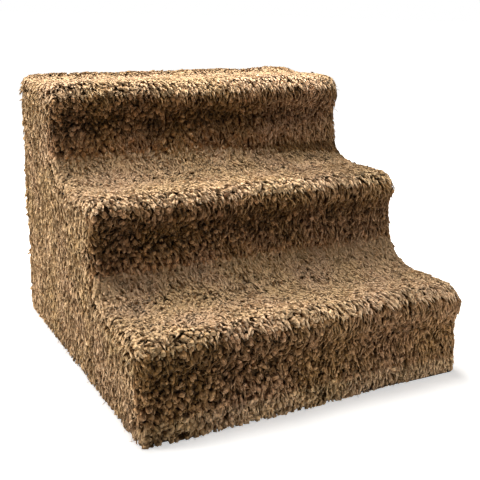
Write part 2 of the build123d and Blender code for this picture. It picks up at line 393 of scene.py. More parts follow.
leftToRight, rightToLeft = ("x", "line", -halfWidth, halfWidth), ("x", "line", halfWidth, -halfWidth)
upwards, downwards = ("along", "line", 0.0, 1.0), ("along", "line", 1.0, 0.0)
nearFoot = ("z", "line", 0.06, 0.02)
bright, corner = ("x", "bell", -0.085, 0.055), ("x", "bell", -0.195, 0.028)
paintedLightMarks = (
    # stretch, its steps, how much lighter its pile is painted, as painted light (below 0 it is painted
    # darker, as painted shade), then where: measure, form, start, end or, for a bell, middle and width
    ("nose", (1, 2), 0.45, upwards, leftToRight),
    ("nose", (2,), 0.55, leftToRight),
    ("nose", (2,), -0.3),
    ("nose", (2,), -0.7, ("x", "rise", 0.165, 0.190)),
    ("nose", (1,), -1.0, upwards, ("x", "rise", 0.04, 0.16)),
    ("nose", (0,), -0.9, downwards, ("x", "bell", -0.17, 0.045)),
    ("nose", (0,), -0.5, upwards, ("x", "rise", 0.04, 0.14)),
    ("riser", (0,), 0.20, nearFoot),
    ("riser", (0,), 0.75, nearFoot, bright),
    ("riser", (0,), -0.6, nearFoot, ("x", "bell", -0.19, 0.04)),
    ("riser", (0,), -0.8, ("z", "rise", 0.055, 0.080), ("x", "bell", -0.17, 0.045)),
    ("riser", (1, 2), 0.9375, rightToLeft, ("along", "line", 0.3375, 0.0)),
    ("riser", (2,), -0.6, downwards, corner),
    ("riser", (2,), -0.4, ("x", "bell", 0.005, 0.035)),
    ("riser", (2,), 0.5, ("x", "rise", 0.03, 0.15)),
    ("riser", (1,), -1.0, downwards, corner),
    ("riser", (1,), -0.65, ("along", "rise", 0.6, 1.0)),
    ("riser", (0, 1, 2), 0.8, ("x", "rise", halfWidth - 0.010, halfWidth - 0.002)),
    ("tread", (0,), -0.1, ("along", "rise", 0.85, 0.55), ("x", "rise", 0.0, 0.15)),
    ("tread", (1,), -0.6, ("along", "rise", 0.85, 0.55), ("x", "rise", 0.0, 0.15)),
    ("bridge", (0,), -0.1, ("x", "rise", 0.0, 0.15)),
    ("bridge", (1,), -0.6, ("x", "rise", 0.0, 0.15)),
)


def paintedLightAt(kind, step, share, x, z):
    # How much lighter the pile is painted than elsewhere, as painted light, and how much darker where
    # it is below 0, as painted shade
    measures = {"x": x, "z": z, "along": share}
    total = 0.0
    for stretch, steps, lighter, *places in paintedLightMarks:
        if kind == stretch and step in steps:
            for measure, form, a, b in places:
                lighter *= forms[form](measures[measure], a, b)
            total += lighter
    return min(1.0, max(-1.0, total))


nap = {
    "droop": 0.15,  # how far the curls hang down where the cloth lies flat
    "wrapDroop": 0.8,  # and on the wrapped edges
    "wrap": (0.012, 0.006),  # these begin so far in from the side, and are full there
    "sides": (0, -0.1, -1),  # which way the curls hang on the side pieces
    # the pile stands thinner below each nose, more so at the left, and its curls there are painted
    # darker, as painted shade
    "lessRight": (0.8, 0.35, 0.35),  # on each step
    "edge": 0.06,
    # share of the way up where it begins and is full
    "thinFrom": {"riser": (0.25, 0.65), "nose": (0.6, 0.0)},
}


def clothGrid(rows, columns, dipAt=()):
    # A grid of cloth bent over the side line. Rows in dipAt sink into a seam.
    bm = bmesh.new()
    bmesh.ops.create_grid(bm, x_segments=len(columns) - 1, y_segments=len(rows) - 1, size=1)
    rowAt = bm.verts.layers.int.new("rowAt")
    naps = {}
    for vert in bm.verts:
        column = round((vert.co.x + 1) / 2 * (len(columns) - 1))
        row = round((vert.co.y + 1) / 2 * (len(rows) - 1))
        x, depth = columns[column]
        y, z, ny, nz, kind, step, share = rows[row]
        vert[rowAt] = row
        depth += hollow(kind, share, x)
        if row in dipAt:
            depth += cover["groove"]
        vert.co = settle(Vector((x, y - ny * depth, z - nz * depth)))
        wrap = rise(abs(x), halfWidth - nap["wrap"][0], halfWidth - nap["wrap"][1])
        lie = Vector((0, -abs(nz), -abs(ny) - nap["droop"]))
        if kind == "bridge":
            lie = Vector((0, -nz, -abs(ny)))
        lie.z -= nap["wrapDroop"] * wrap
        seam = 1.0 if column in (0, len(columns) - 1) or row in dipAt else 0.0
        thin = 0.0
        if kind in nap["thinFrom"]:
            thin = 1 - nap["lessRight"][step] * (x + halfWidth) / cover["width"]
            thin *= rise(x, halfWidth, halfWidth - nap["edge"]) * rise(share, *nap["thinFrom"][kind])
        naps[vert.index] = (lie.normalized(), seam, thin * (1 - wrap), paintedLightAt(kind, step, share, x, z))
    bm.normal_update()
    return bm, naps


napLayers = {"nap": "FLOAT_VECTOR", "bare": "FLOAT", "thin": "FLOAT", "worn": "FLOAT"}


def setNap(piece, naps):
    # Which way the curls lie, where a seam leaves none, where they stand thin and are painted darker as
    # shade, how much painted light and painted shade they get
    for order, (name, kind) in enumerate(napLayers.items()):
        layer = piece.data.attributes.new(name, kind, "POINT")
        for index, values in naps.items():
            setattr(layer.data[index], "value" if kind == "FLOAT" else "vector", values[order])


profile = sideLine()
seamLevel = height - cover["seamInset"] + 0.001
seamRow = min(i for i, row in enumerate(profile) if row[4] == "rim" and row[1] < seamLevel)


def cut(bm, place, normal, **clear):
    whole = bm.verts[:] + bm.edges[:] + bm.faces[:]
    bmesh.ops.bisect_plane(bm, geom=whole, plane_co=place, plane_no=normal, **clear)


def sidePatch(side, keepFront):
    # One flat side piece inside the seam that follows the steps
    inset = cover["seamInset"]
    bm = bmesh.new()
    outline = []
    for y, z, ny, nz, kind, step, share in profile:
        depth = inset + hollow(kind, share, halfWidth)
        outline.append(bm.verts.new((0, y - ny * depth, z - nz * depth)))
    bm.faces.new(outline)
    bmesh.ops.inset_region(
        bm, faces=bm.faces[:], thickness=cover["seamWidth"], use_boundary=True, use_even_offset=True
    )
    for axis, start, end in ((1, front, back), (2, 0.0, height)):
        count = round((end - start) / cover["grid"])
        for i in range(1, count):
            point, normal = [0, 0, 0], [0, 0, 0]
            point[axis], normal[axis] = start + (end - start) * i / count, 1
            cut(bm, point, normal)
    cut(bm, (0, sideSeam, 0), (0, 1, 0), clear_outer=keepFront, clear_inner=not keepFront)
    bmesh.ops.remove_doubles(bm, verts=bm.verts, dist=0.0003)
    bmesh.ops.recalc_face_normals(bm, faces=bm.faces)
    edge = {v for e in bm.edges if e.is_boundary for v in e.verts}
    bm.faces.ensure_lookup_table()
    flip = bm.faces[0].normal.x * side < 0
    naps = {}
    for vert in bm.verts:
        seam = 1.0 if vert in edge and vert.co.z > 0.01 else 0.0
        depth = cover["pile"] + cover["groove"] * seam
        vert.co = settle(Vector((side * (halfWidth - depth), vert.co.y, vert.co.z)))
        naps[vert.index] = (Vector(nap["sides"]).normalized(), seam, 0.0, 0.0)
    if flip:
        bmesh.ops.reverse_faces(bm, faces=bm.faces)
    bm.normal_update()
    return bm, naps


# Fleece materials

fleece = {
    # colour of a curl from its root to its tip, and where along it each comes. The zones are copies of
    # one fleece, painted darker on the risers as painted shade and lighter on the noses and treads as
    # painted light
    "tones": {
        # the risers' near-black roots are partly the curls' own darker roots and partly painted shade
        # in the gaps between them
        "riser": ((0.018, 0.006, 0.0015), (0.12, 0.05, 0.016), (0.4, 0.22, 0.1), (0.64, 0.405, 0.22)),
        "nose": ((0.225, 0.12, 0.053), (0.49, 0.29, 0.144), (0.7, 0.454, 0.25), (0.85, 0.622, 0.39)),
        "tread": (
            (0.42, 0.256, 0.128), (0.545, 0.344, 0.178), (0.63, 0.409, 0.221), (0.74, 0.508, 0.304)
        ),
        "side": (
            (0.045, 0.019, 0.005), (0.22, 0.117, 0.045), (0.545, 0.345, 0.177), (0.765, 0.545, 0.325)
        ),
    },
    "stops": (0.0, 0.2, 0.5, 1.0),
    # the darkest and the lightest that a curl's fibres are
    "fibre": {"riser": (0.40, 1.32), "nose": (0.68, 1.18), "tread": (0.84, 1.10), "side": (0.40, 1.34)},
    "fibres": (3.0, 9.0),  # streaks of it along a curl and across it
    "sheen": {"riser": 0.06, "nose": 0.12, "tread": 0.14, "side": 0.10},
    "sheenTint": (0.9, 0.72, 0.50),
    "shades": 10,  # the curls are given this many shades
    "hues": 6,  # in this many hues
    "value": (0.33, 1.05),  # of the darkest shade, and how much more the lightest has
    "saturation": (1.08, 0.08, 0.17),  # more with the hue, less with the shade
    "hue": (0.495, 0.011),
    "backing": (0.090, 0.048, 0.019),
}
strips = fleece["shades"] * fleece["hues"]


def pileMaterial(zone):
    # Each curl has its own strip of the map: U runs from root to tip, V picks the strip
    name = f"curly_pile_{zone}"
    material, shader, uv = newMaterial(name, "OFBake", Roughness=0.95, Specular_IOR_Level=0.06)
    u, v = axes(uv)[:2]
    row = (v * strips).calc("FLOOR")
    shade = (row / fleece["hues"]).calc("FLOOR") / fleece["shades"]
    turn = row.calc("MODULO", fleece["hues"]) / fleece["hues"]
    pure, purer, duller = fleece["saturation"]
    tint = {
        "Hue": turn * fleece["hue"][1] + fleece["hue"][0],
        "Saturation": turn * purer + pure - shade * duller,
        "Value": shade * fleece["value"][1] + fleece["value"][0],
        "Color": ramp(u, list(zip(fleece["stops"], fleece["tones"][zone]))),
    }
    body = result(uv.tree, "ShaderNodeHueSaturation", tint)
    along, across = fleece["fibres"]
    streak = noiseAt(uv * (along, strips * across, 1.0), scale=1.0, detail=2.0)
    fibre = remap(streak, (0.36, 0.64), fleece["fibre"][zone])
    dress(shader, mixColour(1.0, body, fibre, "MULTIPLY"), streak, 0.5, 0.0006)
    shader.inputs["Sheen Weight"].default_value = fleece["sheen"][zone]
    shader.inputs["Sheen Roughness"].default_value = 0.5
    shader.inputs["Sheen Tint"].default_value = (*fleece["sheenTint"], 1)
    return material


def backingMaterial():
    # Knitted ground of the fleece: rows of small loops
    material, shader, place = newMaterial("knitted_backing", Roughness=0.92, Specular_IOR_Level=0.2)
    waves = []
    for scale, distortion, direction in ((260.0, 1.2, "X"), (190.0, 1.5, "DIAGONAL")):
        ins = {"Vector": place, "Scale": scale, "Distortion": distortion, "Detail": 1.0}
        waves.append(result(place.tree, "ShaderNodeTexWave", ins, 1, bands_direction=direction))
    loops = waves[0] * waves[1]
    patches = noiseAt(place, scale=35.0, detail=3.0)
    base = mixColour(loops, tinted(fleece["backing"], 0.55), tinted(fleece["backing"], 1.5))
    dress(shader, mixColour(patches * 0.35, base, fleece["backing"]), loops, 0.6, 0.0004)
    return material


curlyPile = {zone: pileMaterial(zone) for zone in fleece["tones"]}
curlyPile["top"] = curlyPile["tread"]
# the lowest rows of the front take the sides' lighter tones: painted light where the floor's bounce
# falls on the foot of the lowest riser
curlyPile["hem"] = curlyPile["side"]
knit = backingMaterial()

# Backing of the cover, as it was cut and sewn


def backingPiece(name, bm, naps, replaced):
    piece = newPiece(name, bm, knit)
    setNap(piece, naps)
    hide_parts(replaced)
    return piece


def thicken(piece, thickness, offset=-1.0, even=True):
    wall = piece.modifiers.new("thickness", "SOLIDIFY")
    wall.thickness = thickness
    wall.offset = offset
    wall.use_even_offset = even


columns = acrossLine()
bm, naps = clothGrid(profile[: seamRow + 1], columns, dipAt=(seamRow,))
strip = backingPiece("fleece_front_strip", bm, naps, "cover_front_strip")
bm, naps = clothGrid(profile[seamRow:], columns, dipAt=(0,))
backSheet = backingPiece("fleece_back", bm, naps, "cover_back")
sideSheets = {}
for sideName, side in (("left", -1), ("right", 1)):
    for endName, keepFront in (("front", True), ("rear", False)):
        bm, naps = sidePatch(side, keepFront)
        name = f"side_{sideName}_{endName}"
        sideSheets[name] = backingPiece(f"fleece_{name}", bm, naps, f"cover_{name}")
print("cover backing sewn")

# Curls of the pile

locks = {
    # y along the nap and z up from the backing, in millimetres, then the half width there
    "petal": {
        "spine": ((0.0, -0.6), (0.8, 1.9), (3.2, 3.6), (6.0, 4.0), (8.1, 3.2), (9.0, 2.1)),
        "girth": (1.8, 3.2, 3.9, 3.8, 2.5, 0.0),
        "thick": 0.42,
        "sway": 0.9,
    },
    "flake": {
        "spine": ((0.0, -0.5), (1.4, 0.9), (3.6, 1.6), (6.6, 1.8), (9.4, 1.1)),
        "girth": (1.4, 2.3, 2.7, 2.2, 0.0),
        "thick": 0.34,
        "sway": 1.2,
    },
    "strand": {
        "spine": ((0.0, -0.5), (1.1, 1.7), (3.4, 3.0), (7.2, 3.4), (11.4, 2.5)),
        "girth": (0.9, 1.4, 1.55, 1.2, 0.0),
        "thick": 0.60,
        "sway": 1.8,
    },
    "fuzz": {
        "spine": ((0.0, 0.0), (1.6, 4.2), (4.0, 7.0), (7.6, 8.2)),
        "girth": (0.30, 0.32, 0.26, 0.0),
        "thick": 1.0,
        "sway": 1.6,
    },
    "lean": 0.6,  # how far a curl's tip stands off its middle line, in millimetres
    "twist": 0.35,
    "corners": 3,
    "variants": 7,
}
styleNames = ("petal", "flake", "strand", "fuzz")


def lockMesh(style, number):
    # One curl, drawn out ring by ring from its root and merged to a point at its tip
    look = locks[style]
    corners, last = locks["corners"], len(look["spine"]) - 1
    sway = look["sway"] * math.sin(2.4 * number + 0.7)
    lean = locks["lean"] * math.cos(1.7 * number)
    bm = bmesh.new()
    uvMap = bm.loops.layers.uv.new("OFBake")
    ringAt, cornerAt = bm.verts.layers.int.new("ring"), bm.verts.layers.int.new("corner")
    ring = bmesh.ops.create_circle(bm, cap_ends=True, segments=corners, radius=1)["verts"]
    for corner, vert in enumerate(ring):
        vert[cornerAt] = corner
    placed = Matrix.Identity(4)
    for i, ((y, z), wide) in enumerate(zip(look["spine"], look["girth"])):
        share = i / last
        x = sway * math.sin(math.pi * share) + lean * share
        centre = Vector((x, y, z)) * 0.001
        if i:
            cap = next(f for f in bm.faces if set(f.verts) == set(ring))
            ring = newVerts(bmesh.ops.extrude_face_region(bm, geom=[cap]))
        for vert in ring:
            vert[ringAt] = i
        if i == last:
            bmesh.ops.pointmerge(bm, verts=ring, merge_co=centre)
            break
        before, after = look["spine"][max(0, i - 1)], look["spine"][i + 1]
        slope = math.atan2(after[1] - before[1], after[0] - before[0])
        twist = locks["twist"] * math.sin(1.3 * number + 0.8 * i)
        wanted = (
            Matrix.Translation(centre)
            @ Matrix.Rotation(slope - math.pi / 2, 4, "X")
            @ Matrix.Rotation(twist, 4, "Z")
            @ Matrix.Diagonal((wide * 0.001, wide * look["thick"] * 0.001, 0.001, 1))
        )
        bmesh.ops.transform(bm, matrix=wanted @ placed.inverted(), verts=ring)
        placed = wanted
    for face in bm.faces:
        found = [loop.vert[cornerAt] for loop in face.loops if loop.vert[ringAt] < last]
        wraps = len(face.loops) > corners or any(loop.vert[ringAt] == last for loop in face.loops)
        wraps = wraps and max(found) - min(found) > 1
        found = [corners if wraps and c == 0 else c for c in found]
        for loop in face.loops:
            c = loop.vert[cornerAt]
            v = corners if wraps and c == 0 else c
            if loop.vert[ringAt] == last:
                v = sum(found) / len(found)
            loop[uvMap].uv = (0.01 + 0.98 * loop.vert[ringAt] / last, 0.04 + 0.92 * v / corners)
    bmesh.ops.recalc_face_normals(bm, faces=bm.faces)
    mesh = meshOf(f"{style}_{number}", bm)
    for spare in ("ring", "corner"):
        mesh.attributes.remove(mesh.attributes[spare])
    mesh.shade_smooth()
    return mesh


shelf = bpy.data.collections.new("locks")  # the scatter picks from it, in the order of the names
for order, style in enumerate(styleNames):
    for number in range(locks["variants"]):
        shelf.objects.link(bpy.data.objects.new(f"lock_{order}_{number}", lockMesh(style, number)))

pileLooks = {
    "density": 260000.0,  # roots in a square metre, before the gap thins them
    "hemClear": 0.003,
    "hemRows": 4,  # the lowest rows of the front
    "hemShows": (0.02, 0.09, 0.0030),  # from and to x, the front hem's curls end this high at most, so that the dark tape shows below them, partly as painted shadow
    "lowest": 0.0004,  # and the others this high
    "riserReach": 5,
    "seamClear": 0.36,
    # on the wrapped edges of the front: where a style grows, how far in, its least share there
    "wrapped": {"petal": ("LESS_THAN", 0.0045, 0.0), "strand": ("GREATER_THAN", 0.0085, 0.6)},
    "paintedLightStrength": 0.56,  # the marks' painted light, and their painted shade below 0, are this strong
    "noseShade": 0.30,  # and painted this much darker under a nose, as painted shade
    "shadeShares": (0.35, 0.25, 0.40),  # of a curl's shade, by its patch, its tuft and by chance
    "swirlScale": 34.0,
    "patchScale": 60.0,
    "hueScale": 16.0,
    "sideCut": 0.12,  # the pile of a side comes in two pieces, below and above this height
    # coats: style, nearest that two roots come, share of them at the left edge of the stair and at
    # the right, smallest and largest size, stray of the heading, tilt, darkest and lightest shade,
    # share that is missing where the pile stands thinnest
    # clump: tufts in a metre; gather: how far the curls of a tuft lean together
    "riser": {
        "coats": (
            # this first coat, curls painted near black, is painted shade in the ground between the
            # petals
            ("petal", 0.0034, (1.0, 0.9), (0.50, 0.70), 0.8, 0.10, (0.0, 0.12), 0.0),
            ("petal", 0.0031, (1.0, 0.06), (0.56, 1.00), 0.8, 0.34, (0.40, 1.00), 0.70),
            ("strand", 0.0018, (0.05, 1.0), (0.75, 1.15), 0.30, 0.18, (0.33, 0.94), 0.4),
            ("fuzz", 0.0060, (0.6, 1.0), (0.7, 1.2), 0.7, 0.50, (0.35, 0.94), 0.5),
        ),
        "swirl": 0.8, "clump": 95.0, "gather": 0.30,
    },
    "nose": {
        "coats": (
            ("flake", 0.0026, (0.8, 0.5), (0.70, 1.05), 0.4, 0.06, (0.50, 0.90), 0.2),
            ("petal", 0.0034, (0.6, 0.15), (0.56, 0.95), 0.7, 0.12, (0.44, 0.91), 0.3),
            ("strand", 0.0018, (0.05, 0.8), (0.75, 1.10), 0.25, 0.10, (0.44, 0.91), 0.0),
            ("fuzz", 0.0080, (0.6, 1.0), (0.7, 1.1), 0.7, 0.50, (0.44, 0.91), 0.0),
        ),
        "swirl": 0.7, "clump": 95.0, "gather": 0.40,
    },
    "tread": {
        "coats": (
            ("flake", 0.0036, (1.0, 1.0), (0.90, 1.10), 0.8, 0.0, (0.50, 0.65), 0.0),
            ("flake", 0.0027, (1.0, 0.8), (0.75, 1.10), 0.50, 0.08, (0.54, 0.84), 0.0),
            ("strand", 0.0026, (0.12, 0.90), (0.75, 1.00), 0.45, 0.11, (0.52, 0.84), 0.0),
        ),
        "swirl": 0.9, "clump": 85.0, "gather": 0.25,
    },
    "top": {
        "coats": (
            ("flake", 0.0036, (1.0, 1.0), (0.90, 1.10), 0.8, 0.0, (0.52, 0.62), 0.0),
            ("flake", 0.0024, (1.0, 0.9), (0.75, 1.05), 0.30, 0.0, (0.57, 0.69), 0.0),
        ),
        "swirl": 0.7, "clump": 80.0, "gather": 0.05,
    },
    "side": {
        "coats": (
            ("strand", 0.0022, (1.0, 1.0), (0.70, 1.10), 0.40, 0.24, (0.30, 1.0), 0.0),
            ("petal", 0.0048, (0.7, 0.7), (0.50, 0.90), 0.50, 0.26, (0.30, 1.0), 0.0),
            ("fuzz", 0.0080, (0.6, 0.6), (0.7, 1.2), 0.7, 0.50, (0.30, 1.0), 0.0),
        ),
        "swirl": 0.45, "clump": 110.0, "gather": 0.6,
    },
}
pileLooks["hem"] = pileLooks["riser"]


def attribute(tree, name, kind="FLOAT"):
    return result(tree, "GeometryNodeInputNamedAttribute", {"Name": name}, data_type=kind)


def store(geometry, name, value, kind, domain):
    ins = {"Geometry": geometry, "Name": name, "Value": value}
    node = "GeometryNodeStoreNamedAttribute"
    return result(geometry.tree, node, ins, data_type=kind, domain=domain)


def scatterNodes(name, zone, seed):
    look = pileLooks[zone]
    tree = bpy.data.node_groups.new(name, "GeometryNodeTree")
    for way in ("INPUT", "OUTPUT"):
        tree.interface.new_socket("Geometry", in_out=way, socket_type="NodeSocketGeometry")
    source = result(tree, "NodeGroupInput")
    place = result(tree, "GeometryNodeInputPosition")
    x, z = axes(place)[::2]
    lie = attribute(tree, "nap", "FLOAT_VECTOR")
    bare, thin, worn = (attribute(tree, key) for key in ("bare", "thin", "worn"))
    picks = {"Collection": shelf, "Separate Children": True, "Reset Children": True}
    picked = result(tree, "GeometryNodeCollectionInfo", picks)

    def chance(low, high, offset):
        kind, first, output = ("FLOAT_VECTOR", 0, 0) if isinstance(low, tuple) else ("FLOAT", 2, 1)
        ins = {"Seed": seed * 31 + offset, first: low, first + 1: high}
        return result(tree, "FunctionNodeRandomValue", ins, output, data_type=kind)

    def cutUp(value, count):
        # 0 to 1 becomes a whole number below count
        return (value * (count - 0.01)).calc("FLOOR")

    # the curls lie along the nap, turned by a slow swirl and drawn together in tufts
    slow = noiseAt(place, scale=pileLooks["swirlScale"], detail=1.0, output=1)
    swirl = (slow - (0.5, 0.5, 0.5)) * (2 * look["swirl"])
    tuft = addNode(tree, "ShaderNodeTexVoronoi", {"Vector": place, "Scale": look["clump"]})
    pull = (Value(tuft, "Position") - place) * (2 * look["clump"] * look["gather"])
    flow = lie + swirl + pull
    tuftMood = axes(Value(tuft, "Color"))

    patch = remap(noiseAt(place, scale=pileLooks["patchScale"], detail=2.0), (0.3, 0.7), (0.0, 1.0))
    drift = remap(noiseAt(place, scale=pileLooks["hueScale"], detail=1.0), (0.35, 0.65), (0.0, 0.7))
    hue = cutUp(drift + chance(0.0, 1.0, 90) * 0.3, fleece["hues"])
    # painted light and painted shade from the marks shift each curl's shade
    paintedLightShift = worn * pileLooks["paintedLightStrength"]
    # painted shade: where the pile stands thin under a nose, its curls are also painted darker
    paintedNoseShade = thin * (pileLooks["noseShade"] if zone in ("riser", "nose") else 0.0)
    byPatch, byTuft, byChance = pileLooks["shadeShares"]
    coats = []
    for number, (style, gap, shares, sizes, stray, tilt, shades, thinning) in enumerate(look["coats"]):
        offset = 10 * number
        share = remap(x, (-halfWidth, halfWidth), shares)
        if zone in ("riser", "hem", "nose") and style in pileLooks["wrapped"]:
            test, inset, least = pileLooks["wrapped"][style]
            edge = x.calc("ABSOLUTE").calc(test, halfWidth - inset)
            share = share.calc("MAXIMUM", edge * least) if least else share * edge
        clothed = bare.calc("LESS_THAN", pileLooks["seamClear"]) * (thin * -thinning + 1.0)
        roots = {
            "Mesh": source,
            "Distance Min": gap,
            "Density Max": pileLooks["density"],
            "Density Factor": share * clothed,
            "Seed": seed + 100 * number,
        }
        node = "GeometryNodeDistributePointsOnFaces"
        spread = addNode(tree, node, roots, distribute_method="POISSON")
        ins = {0: Value(spread, "Normal"), 1: flow + chance((-stray,) * 3, (stray,) * 3, offset + 1)}
        turn = result(tree, "FunctionNodeAxesToRotation", ins, primary_axis="Z", secondary_axis="Y")
        leans = chance((-tilt, -tilt, 0), (tilt * 0.6, tilt, 0), offset + 2)
        ins = {0: turn, 1: result(tree, "FunctionNodeEulerToRotation", {0: leans})}
        turn = result(tree, "FunctionNodeRotateRotation", ins, rotation_space="LOCAL")
        light = tuftMood[1] * byTuft + chance(0.0, 1.0, offset + 3) * byChance + patch * byPatch
        light = light * (shades[1] - shades[0]) + shades[0] + paintedLightShift
        if style != "petal" or zone == "nose":
            light = light - paintedNoseShade
        light = light.calc("MINIMUM", 1.0).calc("MAXIMUM", 0.0)
        row = cutUp(light, fleece["shades"]) * fleece["hues"] + hue
        mood = tuftMood[0] + chance(0.0, 1.0, offset + 5) * 0.3
        bend = cutUp(mood.calc("FRACT"), locks["variants"])
        ins = {0: z, 1: pileLooks["hemClear"]}
        curls = {
            "Points": store(Value(spread, "Points"), "row", row, "FLOAT", "POINT"),
            "Selection": result(tree, "FunctionNodeCompare", ins, operation="GREATER_THAN"),
            "Instance": picked,
            "Pick Instance": True,
            "Instance Index": bend + styleNames.index(style) * locks["variants"],
            "Rotation": turn,
            "Scale": chance(*sizes, offset + 4),
        }
        coats.append(result(tree, "GeometryNodeInstanceOnPoints", curls))
    join = addNode(tree, "GeometryNodeJoinGeometry")
    for coat in reversed(coats):
        tree.links.new(coat.socket, join.inputs[0])
    solid = result(tree, "GeometryNodeRealizeInstances", {"Geometry": Value(join)})
    u, v = axes(attribute(tree, "OFBake", "FLOAT_VECTOR"))[:2]
    uv = result(tree, "ShaderNodeCombineXYZ", {0: u, 1: (v + attribute(tree, "row")) / strips})
    mapped = store(solid, "OFBake", uv, "FLOAT2", "CORNER")
    lowest = pileLooks["lowest"]
    if zone == "hem":
        fromX, toX, shown = pileLooks["hemShows"]
        lowest = remap(x, (fromX, toX), (lowest, shown))
    floorLevel = result(tree, "ShaderNodeCombineXYZ", {0: -9.0, 1: -9.0, 2: lowest})
    ins = {"Geometry": mapped, "Position": place.calc("MAXIMUM", floorLevel)}
    settled = result(tree, "GeometryNodeSetPosition", ins)
    ins = {"Geometry": settled, "Material": curlyPile[zone]}
    addNode(tree, "NodeGroupOutput", {0: result(tree, "GeometryNodeSetMaterial", ins)})
    return tree


def growPile(name, source, zone, seed, keep):
    # Curls on the part of a backing piece that keep() picks
    ground = source.data.copy()
    bm = bmesh.new()
    bm.from_mesh(ground)
    rowAt = bm.verts.layers.int.get("rowAt")
    gone = []
    for face in bm.faces:
        row = sum(v[rowAt] for v in face.verts) / len(face.verts) if rowAt else 0
        if not keep(face.calc_center_median(), row):
            gone.append(face)
    bmesh.ops.delete(bm, geom=gone, context="FACES")
    bm.to_mesh(ground)
    bm.free()
    bed = linked(name + "_bed", ground)
    bed.modifiers.new("scatter", "NODES").node_group = scatterNodes(name, zone, seed)
    graph = bpy.context.evaluated_depsgraph_get()
    mesh = bpy.data.meshes.new_from_object(bed.evaluated_get(graph), depsgraph=graph)
    bpy.data.objects.remove(bed)
    for spare in ("row", "rowAt", *napLayers):
        if spare in mesh.attributes:
            mesh.attributes.remove(mesh.attributes[spare])
    mesh.name = name
    piece = linked(name, mesh)
    mesh.materials.clear()
    mesh.materials.append(curlyPile[zone])
    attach(piece, "root")
    mesh.calc_loop_triangles()
    print(f"{name}: {len(mesh.loop_triangles)} triangles")
    return piece


def rowsOf(step, *kinds):
    found = [i for i, row in enumerate(profile) if row[5] == step and row[4] in kinds]
    return found[0], found[-1] + 1


def reach(step, x):
    # Rows that the pile of the highest riser comes down lower towards the right; its darker tones there
    # are painted shade on the rear of the tread below
    return pileLooks["riserReach"] * max(0.0, x / halfWidth) if isLast(step) else 0


hemRows = pileLooks["hemRows"]
stripPile = [growPile("pile_hem", strip, "hem", 91, lambda c, row: row < hemRows)]
for step in range(cover["steps"]):
    riserStart = rowsOf(step, "riser")[0] if step else hemRows
    noseStart, noseEnd = rowsOf(step, "nose")
    # the risers' darker tones reach up into each nose's roll, as painted shade under the nose
    noseStart += 2 if isLast(step) else 3
    noseEnd -= 1 if isLast(step) else 0
    treadEnd = min(seamRow, rowsOf(step, "tread", "rim", "bridge")[1])
    flatZone = "top" if isLast(step) else "tread"
    stretches = (
        ("riser", "riser", 11, lambda c, row: riserStart - reach(step, c.x) <= row < noseStart),
        ("nose", "nose", 71, lambda c, row: noseStart <= row < noseEnd),
        ("tread", flatZone, 21, lambda c, row: noseEnd <= row < treadEnd - reach(step + 1, c.x)),
    )
    for kind, zone, seed, keep in stretches:
        stripPile.append(growPile(f"pile_{kind}_{step + 1}", strip, zone, seed + step, keep))

backPile = [
    growPile("pile_back_lower", backSheet, "side", 31, lambda c, row: c.z < height / 2),
    growPile("pile_back_upper", backSheet, "side", 32, lambda c, row: c.z >= height / 2),
]
sidePile, sideCut = {}, pileLooks["sideCut"]
for number, (name, sheet) in enumerate(sideSheets.items()):
    if name.endswith("front"):
        sidePile[name] = [growPile(f"pile_{name}", sheet, "side", 41 + number, lambda c, row: True)]
    else:
        sidePile[name] = [
            growPile(f"pile_{name}_low", sheet, "side", 51 + number, lambda c, row: c.z < sideCut),
            growPile(f"pile_{name}_high", sheet, "side", 61 + number, lambda c, row: c.z >= sideCut),
        ]
print("pile grown")

for sheet in (strip, backSheet, *sideSheets.values()):
    thicken(sheet, cover["backing"])

# Hem tape: it wraps under the raw edge of the cover and lies inwards

hem = {
    "leg": 0.0030,  # how far it shows up the outside of the hem
    "peep": 0.003,  # and how far it stands out at the right of the front, so that its dark edge shows under the hem: the real tape, standing in partly for the contact shadow there, as painted shadow
    "peepsFrom": (0.02, 0.08),  # along x
    "width": 0.0162,
    "level": (0.0009, 0.0022),  # height under the hem, and at its inner edge
    "thickness": 0.0008,
    "flat": (0.0192, 1.640),
    "colour": (0.022, 0.014, 0.009),
    "weave": (900.0, 700.0),  # ribs and picks in a metre
}
straps = {
    "offset": 0.090,  # from the middle of the stair to each strap
    "width": 0.025,
    "thickness": 0.0012,
    "bend": 0.0024,
    "floor": 0.0037,  # middle of its thickness
    "reach": 0.052,
    "tab": 0.012,
    "fixed": 0.012,  # so far from the board it keeps still
    # where it is sewn, the board's face
    "walls": {"front": (-0.2016, -0.1745), "back": (0.2016, 0.1885)},
    "colour": (0.030, 0.022, 0.016),
    "weave": (560.0, 420.0),
}
patches = {
    "size": (0.030, 0.0015, 0.040),
    "base": 0.020,
    "edge": 0.0005,
    "hooks": 700.0,  # in a metre
    "colour": (0.012, 0.011, 0.010),
}


def wovenMaterial(name, look):
    # Ribs run along the band and picks cross it, on the flat and where it turns up
    ribs, picks = look["weave"]
    material, shader, place = newMaterial(name, Roughness=0.86, Specular_IOR_Level=0.25)
    x, y, z = axes(place)
    rib = (x * (ribs * 2 * math.pi)).calc("SINE")
    pick = ((z - y.calc("ABSOLUTE")) * (picks * 2 * math.pi)).calc("SINE")
    mixed = (rib * pick * 0.35 + 0.5) * 0.7 + noiseAt(place, scale=900.0, detail=3.0) * 0.3
    colour = look["colour"]
    tones = [(0.25, tinted(colour, 0.45)), (0.55, colour), (0.85, tinted(colour, 2.2))]
    dress(shader, ramp(mixed, tones), mixed, 0.7, 0.0003)
    shader.inputs["Sheen Weight"].default_value = 0.1
    return material


